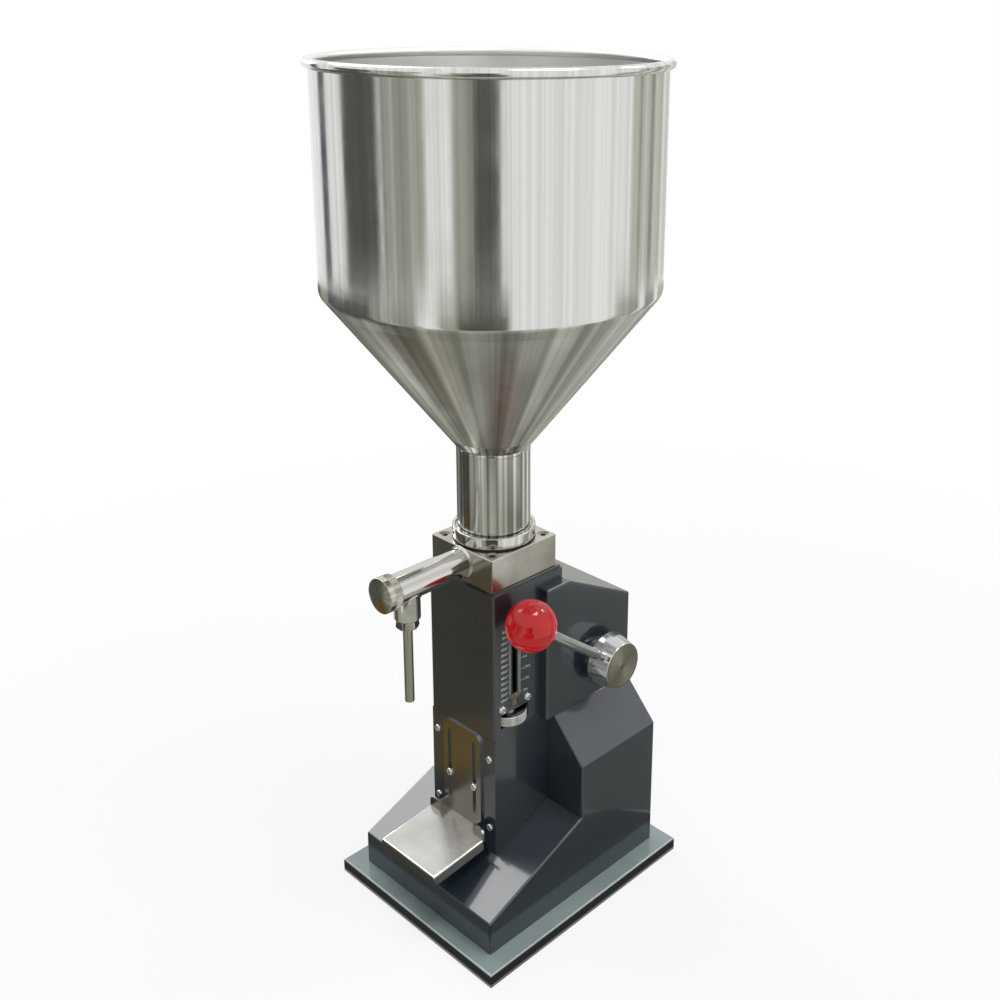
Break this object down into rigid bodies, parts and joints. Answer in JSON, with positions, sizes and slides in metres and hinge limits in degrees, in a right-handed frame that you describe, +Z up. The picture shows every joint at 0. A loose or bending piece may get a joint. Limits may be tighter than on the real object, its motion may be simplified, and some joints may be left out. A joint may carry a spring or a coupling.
{
  "type": "manual piston filler",
  "caption": "Bench piston filler: a side lever drives a rack and piston that draw a set dose from a steel hopper and push it out of a downward nozzle over a height-adjustable bottle tray.",
  "frame": {"origin": "on the hopper's axis, at the underside of the base plate", "axes": "+X to the machine's right, where the lever is; -Y to its front, where the nozzle and the tray are; +Z up"},
  "size_m": [0.2834, 0.2834, 0.7387],
  "materials": {
    "base_paint": "satin grey-green paint",
    "housing_paint": "satin-gloss anthracite paint",
    "stainless_steel": "polished and brushed stainless",
    "bright_chrome": "bright turned and polished steel",
    "machine_steel": "machined steel",
    "copper": "copper-coloured, satin",
    "bronze": "bearing bronze, turned",
    "red_plastic": "glossy red",
    "seal_rubber": "black rubber"
  },
  "bodies": {
    "frame": {"base_plate": "base_paint", "lower_housing": "housing_paint", "column": "housing_paint", "front_panel": "housing_paint", "panel_screws": "stainless_steel", "mechanism_cover": "housing_paint", "bearing_bracket": "machine_steel", "bracket_bolts": "stainless_steel", "shaft_bush": "bronze", "bearing_flange": "bright_chrome", "mounting_plate": "machine_steel", "guide_plate": "machine_steel", "guide_rods": "machine_steel", "cylinder": "stainless_steel", "valve_block": "stainless_steel", "block_screws": "stainless_steel", "discharge_tube": "bright_chrome", "tube_cap": "bright_chrome", "cap_seal": "seal_rubber", "nozzle_nut": "bright_chrome", "nozzle_tube": "bright_chrome", "dose_bracket": "machine_steel", "dose_screws": "stainless_steel", "cylinder_seal": "seal_rubber", "inlet_guide": "stainless_steel", "inlet_spring": "stainless_steel", "outlet_spring": "stainless_steel", "tray_screws": "stainless_steel", "hopper_gasket": "seal_rubber", "hopper_collar": "stainless_steel", "hopper_neck": "stainless_steel", "hopper_cone": "stainless_steel", "hopper_wall": "stainless_steel"},
    "lever": {"lever_shaft": "stainless_steel", "shaft_circlip": "machine_steel", "sector_gear": "machine_steel", "sector_pin": "machine_steel", "lever_hub": "bright_chrome", "hub_set_screw": "stainless_steel", "lever_rod": "bright_chrome", "lever_knob": "red_plastic"},
    "piston_group": {"piston": "stainless_steel", "piston_seals": "seal_rubber", "piston_rod": "stainless_steel", "rod_nut": "machine_steel", "crosshead": "machine_steel", "rack": "machine_steel", "rack_screws": "stainless_steel", "stroke_arm": "machine_steel"},
    "dose_wheel_group": {"dose_screw": "machine_steel", "dose_wheel": "stainless_steel"},
    "stop_nut_group": {"stop_nut": "copper", "dose_pointer": "copper"},
    "tray_group": {"bottle_tray": "stainless_steel"},
    "inlet_valve_group": {"inlet_valve": "stainless_steel"},
    "outlet_valve_group": {"outlet_ball": "stainless_steel"}
  },
  "joints": [
    {"name": "lever_swing", "type": "hinge", "parent": "frame", "child": "lever", "pos_m": [0, 0.083, 0.211], "axis": [-1, 0, 0], "range_deg": [-63.17, 0]},
    {"name": "piston_slide", "type": "slide", "parent": "frame", "child": "piston_group", "axis": [0, 0, 1], "range_m": [-0.0645, 0]},
    {"name": "dose_wheel_turn", "type": "hinge", "parent": "frame", "child": "dose_wheel_group", "pos_m": [0.031, -0.015, 0.189], "axis": [0, 0, 1], "range_deg": [0, 11610]},
    {"name": "stop_nut_slide", "type": "slide", "parent": "frame", "child": "stop_nut_group", "axis": [0, 0, 1], "range_m": [0, 0.0645]},
    {"name": "tray_height", "type": "slide", "parent": "frame", "child": "tray_group", "axis": [0, 0, 1], "range_m": [-0.01, 0.026]},
    {"name": "inlet_valve_lift", "type": "slide", "parent": "frame", "child": "inlet_valve_group", "axis": [0, 0, 1], "range_m": [-0.004, 0], "stiffness_N_per_m": 300, "springref_m": 0.002, "deforming": ["inlet_spring"]},
    {"name": "outlet_valve_lift", "type": "slide", "parent": "frame", "child": "outlet_valve_group", "axis": [0, 0, 1], "range_m": [-0.002, 0], "stiffness_N_per_m": 300, "springref_m": 0.002, "deforming": ["outlet_spring"]}
  ],
  "couplings": [
    {"joint": "piston_slide", "follows": "lever_swing", "m_per_rad": 0.0585},
    {"joint": "dose_wheel_turn", "follows": "stop_nut_slide", "rad_per_m": 3141.6}
  ]
}
